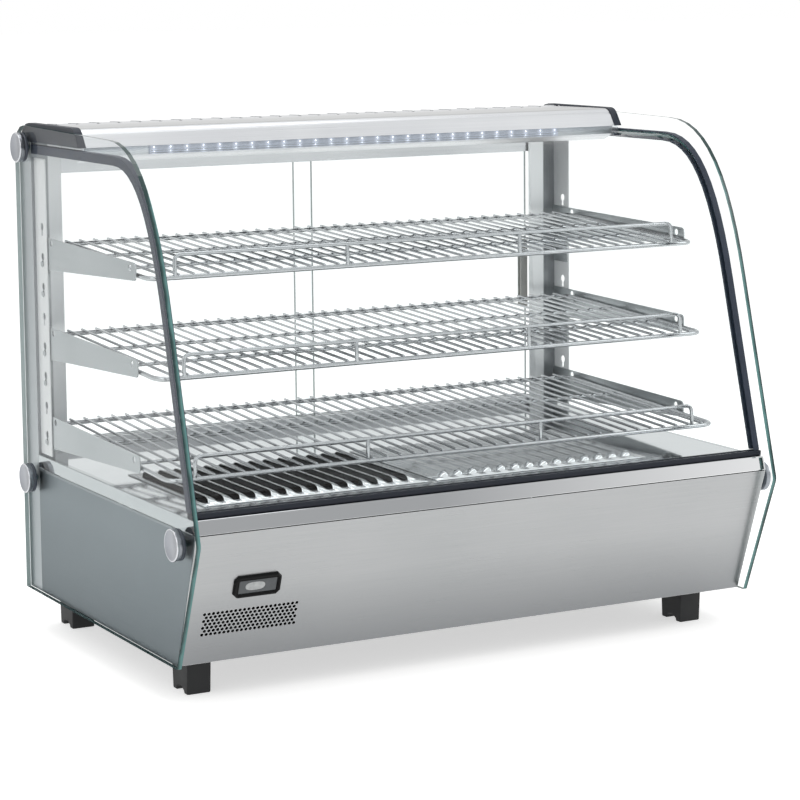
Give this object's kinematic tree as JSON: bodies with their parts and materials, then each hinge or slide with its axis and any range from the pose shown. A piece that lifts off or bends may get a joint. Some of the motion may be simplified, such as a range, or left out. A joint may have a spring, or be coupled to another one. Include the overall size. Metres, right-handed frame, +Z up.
{
  "type": "heated display case",
  "caption": "Countertop heated food display case with curved front glass, glass sides, wire shelves with guard rails, a lit top housing, sliding rear doors and a steel base on feet.",
  "frame": {"origin": "centre of the bounding box at the soles of the feet", "axes": "+X to the right seen from the customer's side, +Z up, the curved front glass faces -Y"},
  "size_m": [0.8606, 0.5752, 0.686],
  "materials": {
    "safety_glass": "clear toughened glass with a green tint at its edges",
    "door_glass": "clear toughened glass",
    "fixing_metal": "satin turned caps over dark washers",
    "gasket_rubber": "dark blue-grey extruded rubber",
    "brushed_sheet": "brushed stainless sheet",
    "seal_silicone": "milky silicone strip",
    "polished_sheet": "bright polished stainless sheet",
    "inner_sheet": "plain mill finish sheet",
    "heater_sheath": "dull steel heater sheath",
    "black_plastic": "black moulded plastic",
    "dark_plastic": "dark grey moulded plastic",
    "white_plastic": "off-white moulded plastic",
    "chrome_wire": "chrome plated wire",
    "extrusion": "satin aluminium extrusion",
    "led_board": "white board with lit chips",
    "foot_rubber": "black rubber"
  },
  "bodies": {
    "cabinet": {"left_side_glass": "safety_glass", "right_side_glass": "safety_glass", "left_rear_top_fixing": "fixing_metal", "left_rear_low_fixing": "fixing_metal", "left_front_fixing": "fixing_metal", "right_rear_top_fixing": "fixing_metal", "right_rear_low_fixing": "fixing_metal", "right_front_fixing": "fixing_metal", "front_glass": "safety_glass", "left_glass_gasket": "gasket_rubber", "right_glass_gasket": "gasket_rubber", "bottom_glass_gasket": "gasket_rubber", "glass_top_seal": "seal_silicone", "base_front_panel": "brushed_sheet", "base_left_panel": "brushed_sheet", "base_right_panel": "brushed_sheet", "base_floor": "brushed_sheet", "base_rear_panel": "brushed_sheet", "deck": "polished_sheet", "louvre_plate": "brushed_sheet", "return_louvre_plate": "brushed_sheet", "heater_box": "inner_sheet", "heater_element": "heater_sheath", "fan_motor": "black_plastic", "thermostat": "dark_plastic", "switch_bezel": "black_plastic", "cable_gland": "black_plastic", "terminal_block": "white_plastic", "led_driver": "inner_sheet", "thermometer": "black_plastic", "front_left_foot": "foot_rubber", "rear_left_foot": "foot_rubber", "front_right_foot": "foot_rubber", "rear_right_foot": "foot_rubber", "left_rear_post": "brushed_sheet", "right_rear_post": "brushed_sheet", "left_top_bracket": "brushed_sheet", "right_top_bracket": "brushed_sheet", "left_middle_bracket": "brushed_sheet", "right_middle_bracket": "brushed_sheet", "left_bottom_bracket": "brushed_sheet", "right_bottom_bracket": "brushed_sheet", "top_housing": "extrusion", "left_end_cap": "dark_plastic", "right_end_cap": "dark_plastic", "led_profile": "extrusion", "led_strip": "led_board", "door_sill_track": "extrusion", "door_header_track": "extrusion"},
    "left_door": {"left_rear_door": "door_glass", "left_door_pull": "white_plastic"},
    "right_door": {"right_rear_door": "door_glass", "right_door_pull": "white_plastic"},
    "shelf_top": {"top_shelf": "chrome_wire"},
    "shelf_middle": {"middle_shelf": "chrome_wire"},
    "shelf_bottom": {"bottom_shelf": "chrome_wire"},
    "knob": {"thermostat_knob": "black_plastic"},
    "power_switch": {"power_rocker": "dark_plastic"},
    "light_switch": {"light_rocker": "dark_plastic"},
    "impeller": {"fan_impeller": "dark_plastic"}
  },
  "joints": [
    {"name": "left_door_slide", "type": "slide", "parent": "cabinet", "child": "left_door", "axis": [1, 0, 0], "range_m": [0, 0.32]},
    {"name": "right_door_slide", "type": "slide", "parent": "cabinet", "child": "right_door", "axis": [-1, 0, 0], "range_m": [0, 0.32]},
    {"name": "top_shelf_lift", "type": "slide", "parent": "cabinet", "child": "shelf_top", "axis": [0, 0, 1], "range_m": [0, 0.03]},
    {"name": "middle_shelf_lift", "type": "slide", "parent": "cabinet", "child": "shelf_middle", "axis": [0, 0, 1], "range_m": [0, 0.03]},
    {"name": "bottom_shelf_lift", "type": "slide", "parent": "cabinet", "child": "shelf_bottom", "axis": [0, 0, 1], "range_m": [0, 0.03]},
    {"name": "knob_turn", "type": "hinge", "parent": "cabinet", "child": "knob", "pos_m": [0.25, 0.278, 0.1395], "axis": [0, 1, 0], "range_deg": [0, 270]},
    {"name": "power_rock", "type": "hinge", "parent": "cabinet", "child": "power_switch", "pos_m": [0.1587, 0.2678, 0.1395], "axis": [-1, 0, 0], "range_deg": [0, 12]},
    {"name": "light_rock", "type": "hinge", "parent": "cabinet", "child": "light_switch", "pos_m": [0.1813, 0.2678, 0.1395], "axis": [-1, 0, 0], "range_deg": [0, 12]},
    {"name": "impeller_spin", "type": "hinge", "parent": "cabinet", "child": "impeller", "pos_m": [-0.208, -0.0775, 0.165], "axis": [0, 0, 1], "continuous": true}
  ]
}
